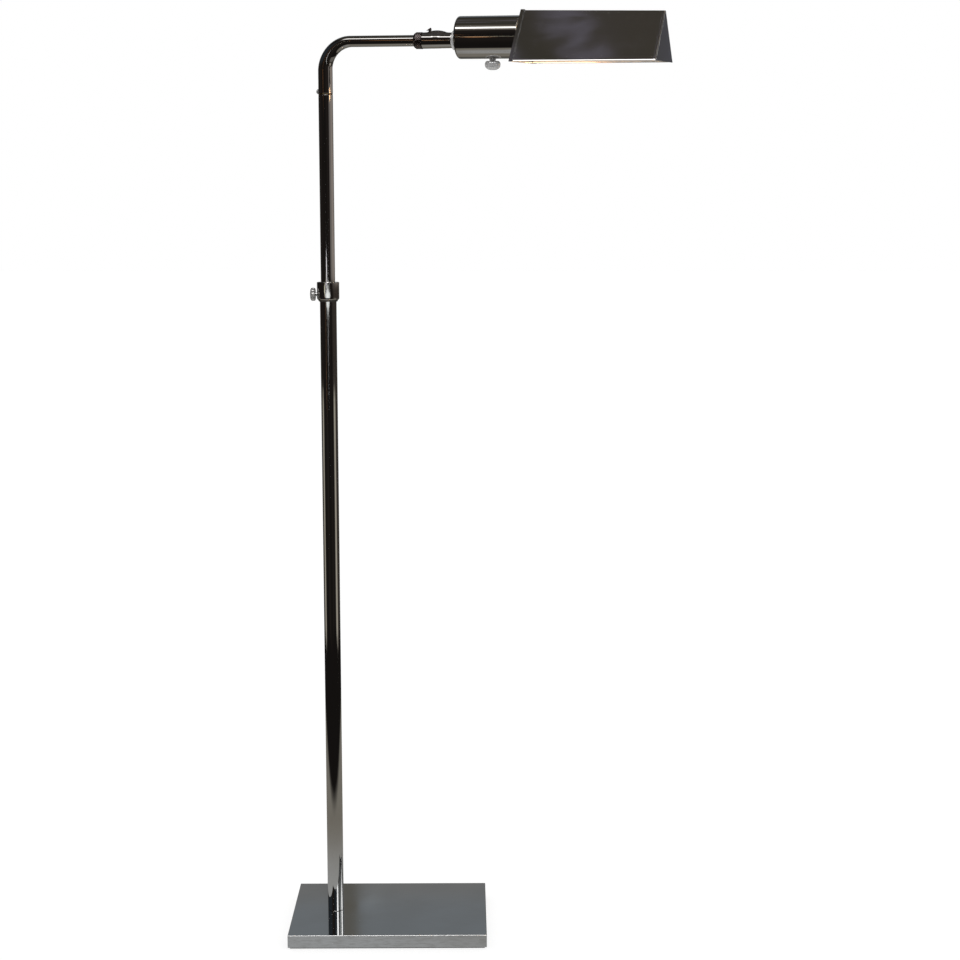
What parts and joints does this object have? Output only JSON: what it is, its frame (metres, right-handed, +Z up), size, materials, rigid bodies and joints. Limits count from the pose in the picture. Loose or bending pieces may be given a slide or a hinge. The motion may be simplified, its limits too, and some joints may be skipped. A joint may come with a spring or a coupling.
{
  "type": "adjustable arm floor lamp",
  "caption": "Floor lamp with a heavy rectangular base, a telescoping pole with a thumbscrew, a swivelling bent arm and a rolling tent-shaped shade.",
  "frame": {"origin": "on the floor under the pole's axis, in the bottom face of the base's pad", "axes": "+Z up along the pole, +X along the base's long side, towards the side that the arm reaches over"},
  "size_m": [0.5051, 0.277, 1.2367],
  "materials": {
    "polished_chrome": "mirror-polished chrome plate",
    "bright_chrome": "bright chrome plate",
    "knurled_chrome": "knurled chrome plate",
    "zinc_plated_steel": "zinc plate",
    "brass": "bare turned brass",
    "lamp_cap": "bare spun aluminium",
    "black_plastic": "matte",
    "ceramic": "unglazed",
    "felt": "pressed felt",
    "frosted_glass": "frosted"
  },
  "bodies": {
    "base": {"base_pad": "felt", "base_plate": "polished_chrome", "base_nipple": "zinc_plated_steel", "base_washer": "zinc_plated_steel", "base_nut": "zinc_plated_steel", "pole_foot_plug": "zinc_plated_steel", "cord_bushing": "black_plastic", "lower_pole": "polished_chrome", "clamp_collar": "polished_chrome", "collar_liner": "black_plastic"},
    "height_screw_shoe": {"pressure_shoe": "brass"},
    "height_screw": {"clamp_screw": "bright_chrome", "clamp_knob": "bright_chrome"},
    "mast": {"inner_pole": "polished_chrome", "guide_bush": "black_plastic", "swivel_spigot": "brass"},
    "arm": {"arm_tube": "polished_chrome", "swivel_screw": "bright_chrome", "gland_nut": "knurled_chrome", "swivel_barrel": "polished_chrome"},
    "wing_screw_shoe": {"friction_shoe": "black_plastic"},
    "wing_screw": {"friction_screw": "knurled_chrome"},
    "head": {"head_spindle": "brass", "neck_flange": "bright_chrome", "neck_washer": "black_plastic", "spindle_washer": "zinc_plated_steel", "spindle_nut": "zinc_plated_steel", "housing_shell": "polished_chrome", "socket_body": "ceramic", "socket_shell": "brass", "socket_contact": "brass", "switch_block": "black_plastic", "switch_bushing": "bright_chrome", "switch_nut": "zinc_plated_steel", "shade_ring": "zinc_plated_steel", "shade_screw_1": "zinc_plated_steel", "shade_screw_2": "zinc_plated_steel", "shade_screw_3": "zinc_plated_steel", "shade_back_plate": "polished_chrome", "shade_canopy": "polished_chrome", "shade_front_plate": "polished_chrome", "bulb_glass": "frosted_glass", "bulb_cap": "lamp_cap"},
    "switch": {"switch_shaft": "brass", "switch_knob": "bright_chrome"}
  },
  "joints": [
    {"name": "mast_slide", "type": "slide", "parent": "base", "child": "mast", "axis": [0, 0, 1], "range_m": [-0.235, 0.14]},
    {"name": "arm_swivel", "type": "hinge", "parent": "mast", "child": "arm", "pos_m": [0, 0, 1.1475], "axis": [0, 0, 1], "range_deg": [-170, 170]},
    {"name": "head_roll", "type": "hinge", "parent": "arm", "child": "head", "pos_m": [0.16967, -0.05026, 1.20178], "axis": [0.9586, -0.2839, -0.0227], "range_deg": [-90, 90]},
    {"name": "clamp_advance", "type": "slide", "parent": "base", "child": "height_screw_shoe", "axis": [-1, 0, 0], "range_m": [0, 0.0016]},
    {"name": "clamp_turn", "type": "hinge", "parent": "height_screw_shoe", "child": "height_screw", "pos_m": [0, 0, 0.8778], "axis": [-1, 0, 0], "range_deg": [0, 720]},
    {"name": "wing_advance", "type": "slide", "parent": "arm", "child": "wing_screw_shoe", "axis": [0.0218, -0.0064, 0.9997], "range_m": [0, 0.0007]},
    {"name": "wing_turn", "type": "hinge", "parent": "wing_screw_shoe", "child": "wing_screw", "pos_m": [0.13746, -0.04072, 1.20255], "axis": [0.0218, -0.0064, 0.9997], "range_deg": [0, 360]},
    {"name": "switch_turn", "type": "hinge", "parent": "head", "child": "switch", "pos_m": [0.2181, -0.06245, 1.17493], "axis": [0.0011, 0.0833, -0.9965], "continuous": true}
  ],
  "couplings": [
    {"joint": "clamp_turn", "follows": "clamp_advance", "rad_per_m": 7854},
    {"joint": "wing_turn", "follows": "wing_advance", "rad_per_m": 8976}
  ]
}
